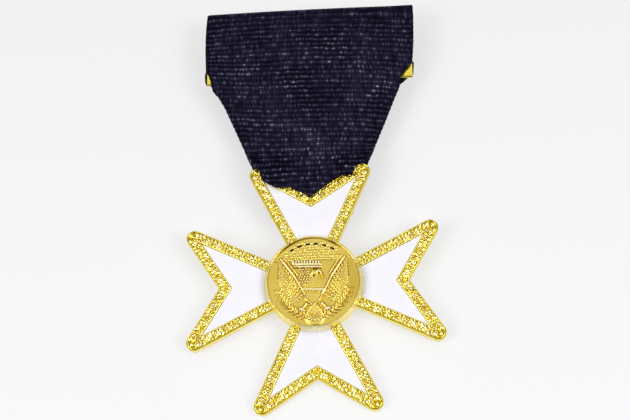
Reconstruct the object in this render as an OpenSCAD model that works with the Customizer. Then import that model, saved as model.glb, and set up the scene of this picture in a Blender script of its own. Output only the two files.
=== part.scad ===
// Gilt and enamel cross jewel on a folded ribbon drape with a brooch plate, lying face up.
// Every piece is drawn flat, with the cross centre at the origin, the arms' backs on z = 0 and the
// ribbon towards +Y. The pose at rest then tips that drawing until its lower tips, the bend of the
// ribbon round the bail and the brooch barrels all touch the surface it lies on.

/* [Cross] */
// Distance from the centre to the tips of the enamel, measured along the arm
enamel_reach = 19.2; // [18:0.1:21]
// Half the distance between the two tips of one enamel field
enamel_half = 8.2; // [7.5:0.1:8.8]
// Distance from the centre to the notch in the end of the enamel
notch_reach = 14.0; // [12.5:0.1:15]
// Distance from the centre to the point where the sides of an arm would meet
side_meet = 2.5; // [1.5:0.1:3]
// Width of the gilt border round the enamel
border_w = 1.8; // [1.6:0.05:2]
// Radius of the rounded tips
tip_r = 1.4; // [1.1:0.05:1.5]
// Thickness of the struck body, from its back to its rims
cross_t = 1.8; // [1.6:0.1:2.2]
// Width of each smooth rim beside the textured channel
rim_w = 0.2; // [0.15:0.05:0.35]
// Depth of the textured channel under the rims
channel_depth = 0.3; // [0.2:0.05:0.4]
// Distance between two beads in the channel
bead_pitch = 1.05; // [0.95:0.05:1.5]
// Radius of the hub under the medallion
hub_r = 7.7; // [7.2:0.1:7.8]

/* [Enamel] */
// Thickness of the enamel
enamel_t = 0.65; // [0.5:0.05:0.8]
// Depth of the enamel's face under the rims
enamel_drop = 0.25; // [0.15:0.05:0.35]
// Gap between the enamel and its recess
enamel_gap = 0.05; // [0.04:0.01:0.08]

/* [Medallion] */
// Radius of the medallion
medal_r = 8.15; // [8:0.05:8.4]
// Height of the medallion's rim above the border of the cross
medal_rise = 1.55; // [1.3:0.05:1.8]
// Width of the medallion's rim
medal_rim_w = 0.4; // [0.3:0.05:0.5]
// Depth of the field under the rim, at the rim
field_drop = 0.4; // [0.3:0.05:0.5]
// Rise of the field from its edge to its middle
field_rise = 0.25; // [0.15:0.05:0.35]
// Radius of the hidden rivet post
post_r = 1.5; // [1.2:0.1:2]

/* [Ribbon] */
// Thickness of one layer of the ribbon
cloth_t = 1.0; // [1:0.05:1.1]
// Height of the folded top edge above the cross centre
ribbon_top = 54.5; // [52:0.1:55]
// Width of the ribbon before it is folded
ribbon_w = 38; // [36:0.5:40]
// Length of the hem behind the brooch plate
hem_len = 6.5; // [5:0.5:7]
// Height of the turned-up end behind, above the cross centre
tail_top = 27; // [26:0.5:30]

/* [Brooch] */
// Width of the brooch plate
plate_w = 37.95; // [37:0.05:38]
// Height of the lower edge of the brooch plate above the cross centre
plate_low = 39.75; // [39.5:0.05:40]
// Thickness of the brooch plate
plate_t = 0.8; // [0.6:0.05:0.9]
// Sideways place of the middle of the plate
plate_x = 0.6; // [0.5:0.05:0.7]
// Lean of the plate to the right, in degrees
plate_lean = 0.6; // [0:0.1:1]
// Radius of the hinge barrel and of the catch barrel
barrel_r = 1.2; // [1:0.05:1.3]
// Length of each barrel
barrel_len = 4; // [3:0.5:5]
// Distance between the middles of the barrels
barrel_span = 24; // [20:1:28]
// Height of the pin's axis above the cross centre
pin_y = 44; // [43:0.1:44.5]
// Diameter of the pin
pin_d = 0.9; // [0.8:0.05:1]

/* [Bail] */
// Diameter of the bail bar
bar_d = 1.0; // [0.9:0.05:1.1]
// Height of the bail bar above the cross centre
bar_y = 13.5; // [13.3:0.05:13.8]
// Distance from the middle of the bar to the middle of each leg
leg_x = 6.85; // [6.8:0.01:6.9]

/* [Hidden] */
$fn = 64;
ARM_NAMES = ["top", "left", "bottom", "right"];

// The gap between neighbouring layers, and the overlap of solids that are joined
gap = 0.1;
lap = 0.05;
ribbon_gap = 0.15;

// Width and height of the step round the upper edge of the struck body
bevel_w = 0.1;
bevel_h = 0.45;

// Unit normals of an arm's right-hand side and of the right-hand half of its notch
side_run = [enamel_half, enamel_reach - side_meet];
side_n = [side_run.y, -side_run.x] / norm(side_run);
notch_run = [enamel_half, enamel_reach - notch_reach];
notch_n = [-notch_run.y, notch_run.x] / norm(notch_run);

// Where the arm's side, its tip and its notch lie when the enamel's outline is grown by g
function side_foot(g) = [0, side_meet + g / side_n.y];
function notch_foot(g) = [0, notch_reach + g / notch_n.y];
function cross_z(a, b) = a.x * b.y - a.y * b.x;
function tip_at(g) = let(s = side_n * side_foot(g), n = notch_n * notch_foot(g),
    d = cross_z(side_n, notch_n))
    [(s * notch_n.y - n * side_n.y) / d, (n * side_n.x - s * notch_n.x) / d];

// Heights of the layers, from the front of the enamel to the back of the ribbon
enamel_top_z = cross_t - enamel_drop;
enamel_low_z = enamel_top_z - enamel_t;
recess_z = enamel_low_z - enamel_gap;
medal_low_z = cross_t + enamel_gap;
rim_z = cross_t + medal_rise;
front_z = -ribbon_gap;
plate_z = front_z - cloth_t - gap;
hem_z = plate_z - plate_t - gap;
bar_gap = 0.15;
bend_r = bar_d / 2 + bar_gap;
bar_z = front_z - cloth_t - bend_r;
tail_z = bar_z - bend_r;
flap_t = (front_z - cloth_t - tail_z) / 2;
flap_end = 2.1;
flap_low = bar_y + flap_end;

// Folds over the top of the plate
fold_in = (front_z - cloth_t - hem_z) / 2;
fold_out = fold_in + cloth_t;
fold_y = ribbon_top - fold_out;
fold_z = front_z - fold_out;
plate_top = fold_y - gap;

// The ribbon's outline: height, left edge and right edge at each bend of its edges
EDGE_Y = 0;
EDGE_LEFT = 1;
EDGE_RIGHT = 2;
EDGES = [
    [ribbon_top, -18.3, 20.25],
    [49, -18.6, 20.1],
    [42.1, -18.65, 19.5],
    [41.5, -18.1, 19.1],
    [39.5, -17.3, 17.15],
    [37.6, -16.5, 17.1],
    [35.2, -15.4, 16.0],
    [30.5, -13.45, 14.0],
    [22.5, -10.25, 10.4],
    [bar_y, -6.1, 6.1]];
function half_outline(rows, edge) = [for (row = rows) [row[edge], row[EDGE_Y]]];
function reversed(list) = [for (i = [len(list) - 1:-1:0]) list[i]];

// The side flaps: height, outer and inner edge, from under the plate to where they meet
FLAP_Y = 0;
FLAP_OUT = 1;
FLAP_IN = 2;
flap_meet = 25.4;
flap_top = plate_low - 3.5 * gap;
RIGHT_FLAP = [[flap_top, 18.7, 16.0], [38.3, 17.15, 14.8], [35.2, 16.0, 11.3],
    [30.5, 14.0, 5.9], [flap_meet, 11.6, -0.1]];
LEFT_FLAP = [[flap_top, -17.25, -15.2], [37.6, -16.5, -12.9], [35.2, -15.4, -10.4],
    [30.5, -13.45, -5.5], [flap_meet, -11.4, 0.1]];

// The tilt at rest: the lower tips, the bend round the bar and the barrels touch one plane
tip_c = tip_at(border_w - tip_r);
arm_reach = tip_c.y + tip_r;
lever = arm_reach + bar_y;
bend_out = bend_r + cloth_t;
rest_tilt = atan(-bar_z / lever) + asin(bend_out / norm([lever, bar_z]));
pin_z = (barrel_r - (pin_y + arm_reach) * sin(rest_tilt)) / cos(rest_tilt);
low_y = -cross_t * sin(rest_tilt);
high_y = (arm_reach + fold_y) * cos(rest_tilt) - fold_z * sin(rest_tilt) + fold_out;

// Places the flat drawing at rest, with the middle of its footprint at the origin
module at_rest() {
    translate([0, -(low_y + high_y) / 2, 0])
        rotate([rest_tilt, 0, 0])
            translate([0, arm_reach, 0])
                children();
}

// A flat solid from height low up to height high
module slab(low, high) {
    translate([0, 0, low])
        linear_extrude(height = high - low)
            children();
}

// A profile drawn in y and z, carried across the jewel from x = left to x = right
module across(left, right) {
    translate([left, 0, 0])
        rotate([90, 0, 90])
            linear_extrude(height = right - left)
                children();
}

// One arm's enamel outline, grown by g, with tips of radius r
module arm(g, r) {
    c = tip_at(g - r);
    side_point = c + r * side_n;
    notch_point = c + r * notch_n;
    polygon([side_foot(g), side_point, notch_point, notch_foot(g),
        [-notch_point.x, notch_point.y], [-side_point.x, side_point.y]]);
    if (r > 0)
        for (side = [-1, 1])
            translate([side * c.x, c.y])
                circle(r = r);
}

module four_arms() {
    for (i = [0:3])
        rotate(90 * i)
            children();
}

// Beads in a row along the channel from point a to point b
module bead_row(a, b) {
    steps = floor(norm(b - a) / bead_pitch);
    for (i = [0:steps])
        translate(a + (b - a) * i / steps)
            rotate(45 + atan2(b.y - a.y, b.x - a.x))
                translate([0, 0, cross_t - channel_depth - lap])
                    cube([bead_pitch * 0.56, bead_pitch * 0.56, channel_depth * 1.6], center = true);
}

// The rows of beads of one arm: up each side from the medallion, and along the notch
module arm_beads() {
    mid = border_w / 2;
    tip = tip_at(mid);
    foot = side_foot(mid);
    run = tip - foot;
    start = foot + run * (medal_r + 1.2) / norm(run);
    near_tip = tip - run / norm(run) * bead_pitch * 0.9;
    notch = notch_foot(mid);
    near_notch = tip - (tip - notch) / norm(tip - notch) * bead_pitch * 0.9;
    for (side = [0, 1])
        mirror([side, 0, 0]) {
            bead_row(start, near_tip);
            bead_row(notch + (near_notch - notch) * 0.1, near_notch);
        }
}

// The bail: a bar behind the upper arm on two legs
module bail() {
    across(-leg_x - bar_d / 2, leg_x + bar_d / 2)
        translate([bar_y, bar_z])
            circle(d = bar_d);
    for (side = [-1, 1])
        translate([side * leg_x - bar_d / 2, bar_y - bar_d / 2, bar_z])
            cube([bar_d, bar_d, -bar_z + lap]);
}

module cross() {
    step_z = cross_t - bevel_h;
    rim_out = border_w - bevel_w;
    color("gold") at_rest() {
        difference() {
            union() {
                four_arms() slab(0, step_z) arm(border_w, tip_r);
                four_arms() slab(step_z - lap, cross_t) arm(rim_out, tip_r - bevel_w);
                slab(0, cross_t) circle(r = hub_r);
            }
            four_arms() slab(cross_t - channel_depth, cross_t + 1) difference() {
                arm(rim_out - rim_w, tip_r - bevel_w - rim_w);
                arm(rim_w, 0);
                circle(r = hub_r);
            }
            four_arms() slab(recess_z, cross_t + 1) difference() {
                arm(0, 0);
                circle(r = hub_r);
            }
            slab(-1, cross_t + 1) circle(r = post_r + gap);
        }
        four_arms() arm_beads();
        bail();
    }
}

// One enamel field, on the arm turned by i quarter turns
module enamel(i) {
    color("white") at_rest() rotate(90 * i)
        slab(enamel_low_z, enamel_top_z) difference() {
            arm(-enamel_gap, 0);
            circle(r = hub_r + enamel_gap);
        }
}

// The medallion's field and its relief are cut by spheres of one curvature
field_r = medal_r - medal_rim_w;
dome_r = (field_r * field_r + field_rise * field_rise) / (2 * field_rise);
field_z = rim_z - field_drop;

// What lies under the domed field when the dome is raised by up
module under_dome(up) {
    intersection() {
        slab(medal_low_z + 0.4, field_z + 2) children();
        translate([0, 0, field_z + field_rise + up - dome_r]) sphere(r = dome_r, $fn = 360);
    }
}

// A bar with round ends from point a to point b
module bar_between(a, b, w) {
    run = b - a;
    translate(a) rotate(atan2(run.y, run.x)) {
        translate([0, -w / 2]) square([norm(run), w]);
        circle(d = w, $fn = 12);
        translate([norm(run), 0]) circle(d = w, $fn = 12);
    }
}

// One raised wing, to the right: a leading edge from shoulder to wrist, and feathers below it
wing_shoulder = [1.5, -2.4];
wing_wrist = [5.7, 4.0];
FEATHERS = 8;
module wing_feathers() {
    for (i = [0:FEATHERS - 1]) {
        t = i / (FEATHERS - 1);
        root = wing_wrist + (wing_shoulder - wing_wrist) * t * 0.85 + [0.25, -0.2];
        turn = -84 + 58 * t;
        length = 3.6 - 1.2 * t;
        bar_between(root, root + length * [cos(turn), sin(turn)], 0.5);
    }
}

// A laurel spray along the lower right of the rim
LEAF_PAIRS = 5;
spray_r = 6.0;
module spray() {
    for (i = [0:LEAF_PAIRS - 1], side = [-1, 1]) {
        a = -68 + 11 * i;
        root = spray_r * [cos(a), sin(a)];
        turn = a + 90 + 32 * side;
        bar_between(root, root + 0.85 * [cos(turn), sin(turn)], 0.42);
    }
}

// The plain shield under the head, with a chief and a point
module shield() {
    polygon([[-1.9, -1.5], [1.9, -1.5], [1.25, -3.2], [0, -4.6], [-1.25, -3.2]]);
}

// The head in profile with its neck, and the crest bar over it
module head() {
    translate([0, 0.9]) circle(r = 0.95, $fn = 24);
    polygon([[0.5, 1.5], [1.9, 0.75], [0.6, 0.5]]);
    polygon([[-0.95, 0.9], [0.8, 0.6], [1.5, -1.3], [-1.5, -1.3]]);
}

// The tail: feathers that fan out under the shield
module tail_fan() {
    for (i = [-2:2])
        bar_between([0.3 * i, -4.7], [0.75 * i, -6.5 + 0.08 * i * i], 0.46);
}

// The arc of beads along the upper rim
module bead_arc() {
    for (i = [-4:4])
        rotate(-11.5 * i)
            translate([0, 6.6])
                circle(r = 0.34, $fn = 12);
}

module medallion() {
    low_step = 0.5;
    color("goldenrod") at_rest() {
        rotate_extrude($fn = 128)
            polygon([[0, medal_low_z], [medal_r - 0.1, medal_low_z], [medal_r, medal_low_z + low_step],
                [medal_r, rim_z - 0.15], [medal_r - 0.12, rim_z], [field_r + 0.1, rim_z],
                [field_r, rim_z - 0.1], [field_r, field_z - 0.1], [0, field_z - 0.1]]);
        under_dome(0) circle(r = field_r + lap, $fn = 128);
        under_dome(0.14) {
            for (side = [0, 1])
                mirror([side, 0, 0]) {
                    wing_feathers();
                    spray();
                }
            tail_fan();
            bead_arc();
        }
        under_dome(0.22) {
            shield();
            bar_between([-3.4, 3.0], [3.4, 3.0], 0.6);
        }
        under_dome(0.3) {
            for (side = [0, 1])
                mirror([side, 0, 0])
                    bar_between(wing_shoulder, wing_wrist, 0.45);
            bar_between([-1.9, -1.6], [1.9, -1.6], 0.4);
            head();
        }
        slab(0.3, medal_low_z + 0.4) circle(r = post_r);
    }
}

// The ribbon's front layer and its fold over the plate
module ribbon_front() {
    slab(front_z - cloth_t, front_z) {
        flat = [for (row = EDGES) [min(row[EDGE_Y], fold_y), row[EDGE_LEFT], row[EDGE_RIGHT]]];
        polygon(concat(half_outline(flat, EDGE_LEFT), reversed(half_outline(flat, EDGE_RIGHT))));
    }
}

// The half round of the top fold and the hem behind the plate, between the ribbon's edges
module ribbon_hem() {
    top = EDGES[0];
    across(top[EDGE_LEFT], top[EDGE_RIGHT]) {
        intersection() {
            difference() {
                translate([fold_y, fold_z]) circle(r = fold_out);
                translate([fold_y, fold_z]) circle(r = fold_in);
            }
            translate([fold_y, fold_z - fold_out]) square([2 * fold_out, 2 * fold_out]);
        }
        translate([fold_y - hem_len, hem_z - cloth_t]) square([hem_len + lap, cloth_t]);
    }
}

// The sides that are folded back behind the taper, and the layers where they cross
module ribbon_flaps() {
    low = front_z - cloth_t - flap_t;
    for (rows = [RIGHT_FLAP, LEFT_FLAP])
        slab(low, front_z - cloth_t + lap)
            polygon(concat(half_outline(rows, FLAP_OUT), reversed(half_outline(rows, FLAP_IN))));
    slab(tail_z - lap, front_z - cloth_t + lap) intersection() {
        ribbon_taper();
        translate([-ribbon_w / 2, flap_low]) square([ribbon_w, flap_meet - flap_low]);
    }
}

// The outline of the taper, between its edges
module ribbon_taper() {
    rows = [for (row = EDGES) if (row[EDGE_Y] < 40) row];
    polygon(concat(half_outline(rows, EDGE_LEFT), reversed(half_outline(rows, EDGE_RIGHT))));
}

// The bend round the bar and the end that is turned up behind
module ribbon_tail() {
    low = EDGES[len(EDGES) - 1];
    across(low[EDGE_LEFT], low[EDGE_RIGHT]) intersection() {
        difference() {
            translate([bar_y, bar_z]) circle(r = bend_out);
            translate([bar_y, bar_z]) circle(r = bend_r);
        }
        translate([bar_y - 2 * bend_out + lap, bar_z - bend_out]) square(2 * bend_out);
    }
    slab(tail_z - cloth_t, tail_z) intersection() {
        ribbon_taper();
        translate([-ribbon_w / 2, bar_y]) square([ribbon_w, tail_top - bar_y]);
    }
}

module ribbon() {
    color("midnightblue") at_rest() {
        ribbon_front();
        ribbon_hem();
        ribbon_flaps();
        ribbon_tail();
    }
}

// A barrel round the pin, joined to the back of the plate by its foot
module barrel(x) {
    difference() {
        union() {
            across(x - barrel_len / 2, x + barrel_len / 2)
                translate([pin_y, pin_z])
                    circle(r = barrel_r);
            translate([x - barrel_len / 2, pin_y - barrel_r, pin_z])
                cube([barrel_len, 2 * barrel_r, plate_z - plate_t - pin_z + lap]);
        }
        across(x - barrel_len, x + barrel_len)
            translate([pin_y, pin_z])
                circle(d = pin_d + 2 * gap);
    }
}

module brooch_plate() {
    edge_r = plate_t / 2;
    color("gold") at_rest() {
        translate([plate_x, (plate_low + plate_top) / 2, 0]) rotate(-plate_lean)
            translate([-plate_w / 2, (plate_low - plate_top) / 2, 0]) {
                translate([0, edge_r, plate_z - plate_t])
                    cube([plate_w, plate_top - plate_low - edge_r, plate_t]);
                across(0, plate_w) translate([edge_r, plate_z - edge_r]) circle(r = edge_r);
            }
        for (side = [-1, 1])
            barrel(plate_x + side * barrel_span / 2);
    }
}

module pin_stem() {
    reach = barrel_span / 2 + barrel_len / 2 + 1.0;
    point_len = 3;
    color("silver") at_rest()
        translate([plate_x, pin_y, pin_z]) rotate([0, 90, 0]) {
            translate([0, 0, -reach]) cylinder(d = pin_d, h = 2 * reach - point_len);
            translate([0, 0, reach - point_len]) cylinder(d1 = pin_d, d2 = 0.2, h = point_len);
        }
}

ribbon();
brooch_plate();
pin_stem();
cross();
for (i = [0:3])
    enamel(i);
medallion();
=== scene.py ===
# %% [markdown]
# # A gilt and enamel cross jewel on a folded ribbon
# The real jewel is a struck metal cross with four white enamel fields and a domed medallion, hung
# on a dark ribbed ribbon that is folded over a brooch plate. It lies face up on a pale table.
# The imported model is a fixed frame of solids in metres. Everything here is dressed round it: each
# solid gets a finer surface in its own place, and the camera stands where the picture was taken.

# %% Load the fixed frame
import math

import bmesh
import bpy
import numpy as np
from mathutils import Matrix, Vector


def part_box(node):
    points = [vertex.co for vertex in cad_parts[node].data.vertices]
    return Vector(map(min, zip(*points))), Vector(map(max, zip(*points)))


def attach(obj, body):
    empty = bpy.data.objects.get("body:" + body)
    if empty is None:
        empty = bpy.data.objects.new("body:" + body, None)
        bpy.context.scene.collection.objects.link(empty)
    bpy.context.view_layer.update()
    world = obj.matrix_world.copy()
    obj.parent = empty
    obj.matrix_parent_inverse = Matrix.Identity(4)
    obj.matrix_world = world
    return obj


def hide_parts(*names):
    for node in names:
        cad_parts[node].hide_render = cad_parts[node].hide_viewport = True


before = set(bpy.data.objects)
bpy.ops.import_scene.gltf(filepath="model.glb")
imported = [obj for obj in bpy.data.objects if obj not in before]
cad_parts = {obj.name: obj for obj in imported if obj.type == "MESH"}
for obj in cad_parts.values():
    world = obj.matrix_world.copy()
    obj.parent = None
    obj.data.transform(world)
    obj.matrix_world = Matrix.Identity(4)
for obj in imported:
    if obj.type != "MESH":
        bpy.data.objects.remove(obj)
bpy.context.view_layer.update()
print("solids:", sorted(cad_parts))

# %% [markdown]
# ## A flat drawing and its place at rest
# A jewel is easiest to draw flat: cross centre at the origin, backs of the arms on z = 0, ribbon
# towards +Y, in millimetres. At rest it is tipped about the X axis, because it lies on its lower
# tips, the bend of the ribbon and the barrels of the brooch. The tilt could be typed in, but it is
# read off the frame instead, from the way the broad face of one enamel field looks, so both agree.

# %% The pose at rest
MM = 0.001
CROSS_T = 1.8
FACES_UP = 0.9


def broad_face_normal(node):
    """The mean of a node's face normals that point up, each weighted by its face's area."""
    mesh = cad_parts[node].data
    normals = np.zeros(len(mesh.polygons) * 3)
    areas = np.zeros(len(mesh.polygons))
    mesh.polygons.foreach_get("normal", normals)
    mesh.polygons.foreach_get("area", areas)
    normals = normals.reshape(-1, 3)
    up = normals[:, 2] > FACES_UP
    mean = (normals[up] * areas[up, None]).sum(0)
    return mean / np.linalg.norm(mean)


face = broad_face_normal("enamel_top")
TILT = math.atan2(-face[1], face[2])
cross_low, cross_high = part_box("cross")
ARM_REACH = (cross_high.x - cross_low.x) / 2 / MM
CENTRE = np.array([0.0,
                   cross_low.y / MM + CROSS_T * math.sin(TILT) + ARM_REACH * math.cos(TILT),
                   ARM_REACH * math.sin(TILT)])
TURN = np.array([[1, 0, 0],
                 [0, math.cos(TILT), -math.sin(TILT)],
                 [0, math.sin(TILT), math.cos(TILT)]])


def at_rest(points):
    """Flat drawing in mm to place at rest in metres: turn by the tilt, then move the centre."""
    return (np.asarray(points, float) @ TURN.T + CENTRE) * MM


print(f"tilt {math.degrees(TILT):.2f} degrees, arm reach {ARM_REACH:.2f} mm, "
      f"centre {CENTRE.round(2)}")

# %% [markdown]
# ## The camera first
# The lens and the place of the camera were solved from the corners of the four enamel fields, which
# are the same shape four times over. They are given as a photographer would say them: how high
# above the jewel's face, how far to its right, how far away, how much rolled, and what it aims at.

# %% The camera
AIM = np.array([0.67, 13.31, 1.55])
DISTANCE = 188.44
ELEVATION = math.radians(69.72)
AZIMUTH = math.radians(4.60)
ROLL = math.radians(7.15)
LENS = 62.12
SENSOR_WIDTH = 36.0
NEAREST, FARTHEST = 0.01, 10.0


def add_object(name, data):
    """A new object in the scene that shows a mesh, a lamp or a camera."""
    obj = bpy.data.objects.new(name, data)
    bpy.context.scene.collection.objects.link(obj)
    return obj


back = np.array([math.cos(ELEVATION) * math.sin(AZIMUTH),
                 -math.cos(ELEVATION) * math.cos(AZIMUTH),
                 math.sin(ELEVATION)])
level = np.array([math.cos(AZIMUTH), math.sin(AZIMUTH), 0.0])
above = np.cross(back, level)
right = math.cos(ROLL) * level - math.sin(ROLL) * above
up = math.sin(ROLL) * level + math.cos(ROLL) * above
eye = at_rest(AIM + DISTANCE * back)

lens_data = bpy.data.cameras.new("camera")
lens_data.lens = LENS
lens_data.sensor_width = SENSOR_WIDTH
lens_data.clip_start, lens_data.clip_end = NEAREST, FARTHEST
camera = add_object("camera", lens_data)
axes = np.stack([TURN @ right, TURN @ up, TURN @ back], axis=1)
camera.matrix_world = Matrix.Translation(Vector(eye)) @ Matrix(axes.tolist()).to_4x4()
bpy.context.scene.camera = camera
print("camera at", eye.round(4), "metres")

# %% [markdown]
# ## Studio
# Polished metal shows the room more than itself. Under an even sky the gilt would turn flat, so the
# room is dim but for one large soft light, wider than deep, up where the broad faces mirror it into
# the camera. Any steep slope of the relief then looks into the dark, most of all one that faces the
# camera, where the dark behind the camera shows. Two soft boxes left and right add the glints and
# the wide soft shadow on both sides of the ribbon. A plain white table would give deep shadows in
# every nook, and the picture has almost none. So the sheet is pale and glows though it is no lamp:
# the glow is painted fill light that lifts those shadows, painted a little stronger towards the
# camera.

# %% Helpers for shader nodes
def new_material(name):
    """A material, its node tree and its shader node."""
    material = bpy.data.materials.new(name)
    material.use_nodes = True
    tree = material.node_tree
    return material, tree, tree.nodes["Principled BSDF"]


def set_inputs(tree, node, inputs):
    """Each input of a node, by name or number, gets a plain value or a link from another socket."""
    for key, value in inputs.items():
        if isinstance(value, bpy.types.NodeSocket):
            tree.links.new(value, node.inputs[key])
        else:
            node.inputs[key].default_value = value


def add_node(tree, kind, inputs=None, **settings):
    """A new node. Its settings come first, because they decide which inputs it has."""
    node = tree.nodes.new("ShaderNode" + kind)
    for key, value in settings.items():
        setattr(node, key, value)
    set_inputs(tree, node, inputs or {})
    return node


def map_value(tree, source, low, high, from_low=0.3, from_high=0.7):
    """A value carried from one range to another and held there."""
    node = add_node(tree, "MapRange", {"Value": source, "From Min": from_low, "From Max": from_high,
                                       "To Min": low, "To Max": high})
    return node.outputs["Result"]


def colour_ramp(tree, source, stops):
    """The colour that belongs to a value, between stops of (position, (r, g, b))."""
    ramp = add_node(tree, "ValToRGB", {"Fac": source})
    elements = ramp.color_ramp.elements
    while len(elements) < len(stops):
        elements.new(0.5)
    for element, (position, colour) in zip(elements, stops):
        element.position = position
        element.color = (*colour, 1)
    return ramp.outputs["Color"]


# %% The table
TABLE_SIZE = 6.0
TABLE_GREY = (0.28, 0.28, 0.283, 1.0)
GLOW_COLOUR = (1.0, 0.995, 1.0, 1.0)
# The table's glow is painted fill light; GLOW_FALL paints it brighter towards the camera
TABLE_GLOW = 0.583
GLOW_FALL = 0.45
GLOW_REACH = 0.1


def table_material():
    """A pale sheet whose glow is painted fill light, and which glows less with every metre away
    from the camera.
    """
    material, tree, shader = new_material("painted_glow_table")
    place = add_node(tree, "TexCoord")
    parts = add_node(tree, "SeparateXYZ", {"Vector": place.outputs["Object"]})
    change = GLOW_REACH * GLOW_FALL
    glow = map_value(tree, parts.outputs["Y"], TABLE_GLOW + change, TABLE_GLOW - change,
                     -GLOW_REACH, GLOW_REACH)
    set_inputs(tree, shader, {"Base Color": TABLE_GREY, "Roughness": 0.7,
                              "Emission Color": GLOW_COLOUR, "Emission Strength": glow})
    return material


def make_table():
    """One large square, which isn't part of the jewel."""
    half = TABLE_SIZE / 2
    corners = [(-half, -half, 0), (half, -half, 0), (half, half, 0), (-half, half, 0)]
    mesh = bpy.data.meshes.new("table")
    mesh.from_pydata(corners, [], [(0, 1, 2, 3)])
    mesh.materials.append(table_material())
    table = add_object("table", mesh)


make_table()

# %% The room and the lamps
ROOM_AXIS = (0.0, 0.32, 0.95)
ROOM_SPREAD = 0.65
ROOM_STOPS = [(0.0, 0.06), (0.5, 0.12), (0.76, 0.2), (0.88, 0.95), (1.0, 1.0)]
ROOM_BLUE = 1.01
LAMP_SIZE = 0.5
LAMP_WATTS = 5.4


def make_room():
    """World light in greys, a little blue, that depend on how near a ray runs to ROOM_AXIS: the
    stops are (cosine, grey). Sideways the ray's run counts only by the share ROOM_SPREAD, which
    widens the light that way."""
    world = bpy.data.worlds.new("room")
    bpy.context.scene.world = world
    world.use_nodes = True
    tree = world.node_tree
    ray = add_node(tree, "TexCoord")
    narrowed = add_node(tree, "VectorMath", {0: ray.outputs["Generated"],
                                             1: (ROOM_SPREAD, 1.0, 1.0)}, operation="MULTIPLY")
    unit = add_node(tree, "VectorMath", {0: narrowed.outputs["Vector"]}, operation="NORMALIZE")
    nearness = add_node(tree, "VectorMath", {0: unit.outputs["Vector"],
                                             1: Vector(ROOM_AXIS).normalized()},
                        operation="DOT_PRODUCT")
    stops = [(cosine, (grey, grey, grey * ROOM_BLUE)) for cosine, grey in ROOM_STOPS]
    light = colour_ramp(tree, nearness.outputs["Value"], stops)
    set_inputs(tree, tree.nodes["Background"], {"Color": light})


def soft_box(name, place):
    """A square area lamp at place, in metres, that looks at the origin."""
    data = bpy.data.lights.new(name, "AREA")
    data.shape = "SQUARE"
    data.size = LAMP_SIZE
    data.energy = LAMP_WATTS
    lamp = add_object(name, data)
    lamp.location = place
    lamp.rotation_mode = "QUATERNION"
    lamp.rotation_quaternion = (-Vector(place)).to_track_quat("-Z", "Y")


make_room()
soft_box("left", (-0.62, -0.36, 0.75))
soft_box("right", (0.62, -0.36, 0.75))
bpy.context.scene.view_settings.view_transform = "Standard"

# %% [markdown]
# ## Surfaces from arrays
# Each new piece is a sheet of points worked out as whole arrays, one row for each value of one
# parameter and one column for each value of the other. Rows and columns give the faces at once, and
# several sheets that share an edge are welded into one closed skin by merging equal points.

# %% Mesh helpers
WELD = 0.0005 * MM


def grid_faces(rows, cols, start=0, wrap=False):
    """Quads between neighbouring points of a rows by cols sheet; wrap joins the last column to the
    first."""
    i = np.arange(rows - 1)[:, None] * cols
    j = np.arange(cols if wrap else cols - 1)[None, :]
    k = (j + 1) % cols
    quads = np.stack([i + j, i + cols + j, i + cols + k, i + k], axis=-1)
    return quads.reshape(-1, 4) + start


def skin(name, sheets, material, caps=(), crease=40.0, attributes=None):
    """One closed object from sheets of points in the flat drawing, each (rows, cols, 3) in mm.
    A sheet in a tuple is a tube: its last column joins its first. caps are closed loops of points,
    and each becomes one flat face. attributes gives, for each name, a list with the values of each
    sheet's points, or one number for a whole sheet. Equal points merge."""
    points, faces, sizes, start = [], [], [], 0
    for sheet in sheets:
        wrap = isinstance(sheet, tuple)
        array = sheet[0] if wrap else sheet
        rows, cols = array.shape[:2]
        points.append(array.reshape(-1, 3))
        faces += grid_faces(rows, cols, start, wrap).tolist()
        sizes.append(rows * cols)
        start += rows * cols
    for loop in caps:
        points.append(np.asarray(loop, float))
        faces.append(list(range(start, start + len(loop))))
        start += len(loop)
    mesh = bpy.data.meshes.new(name)
    mesh.from_pydata(at_rest(np.concatenate(points)).tolist(), [], faces)
    for key, values in (attributes or {}).items():
        full = np.full(start, 1.0, np.float32)
        ends = np.cumsum([0] + sizes)
        for first, last, value in zip(ends, ends[1:], values):
            full[first:last] = np.ravel(value)
        mesh.attributes.new(key, "FLOAT", "POINT").data.foreach_set("value", full)
    work = bmesh.new()
    work.from_mesh(mesh)
    bmesh.ops.remove_doubles(work, verts=work.verts, dist=WELD)
    bmesh.ops.recalc_face_normals(work, faces=work.faces)
    work.to_mesh(mesh)
    work.free()
    mesh.polygons.foreach_set("use_smooth", np.ones(len(mesh.polygons), bool))
    mesh.set_sharp_from_angle(angle=math.radians(crease))
    mesh.materials.append(material)
    obj = add_object(name, mesh)
    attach(obj, "root")
    print(f"{name}: {len(mesh.polygons)} faces")
    return obj


def smooth(x):
    """Smooth step from 0 to 1 as x goes from 0 to 1."""
    x = np.clip(x, 0.0, 1.0)
    return x * x * (3 - 2 * x)


# %% [markdown]
# ## Finishes
# Gilt is a thin layer of gold on brass: a metal with almost no colour of its own besides its
# reflection, so the shader is fully metallic and the base colour is the tint of that reflection.
# The cross is polished bright and a little lemon, and the medallion is satin and browner. Both get
# fine unevenness from noise on Object coordinates, in metres, so that no highlight is perfect. In
# the pits of the relief the tint falls to a dull brown, partly unpolished gilt and partly painted
# shade, and on the peaks it turns paler, a painted highlight, by a number called relief that each
# struck piece carries on its points. At its top end the bright gilt is palest, a painted highlight
# for the outer walls of the cross, which shine like a mirror of the table.

# %% Gilt
LOW_ANGLE_TINT = (1.0, 0.87, 0.4, 1.0)
TINT_DRIFT = [(0.3, (0.95, 0.9, 0.72)), (0.65, (1.0, 1.0, 1.0))]
DRIFT_SCALE = 260.0
SMUDGE_SCALE = 900.0
GRAIN_DEPTH = 0.01 * MM


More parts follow.
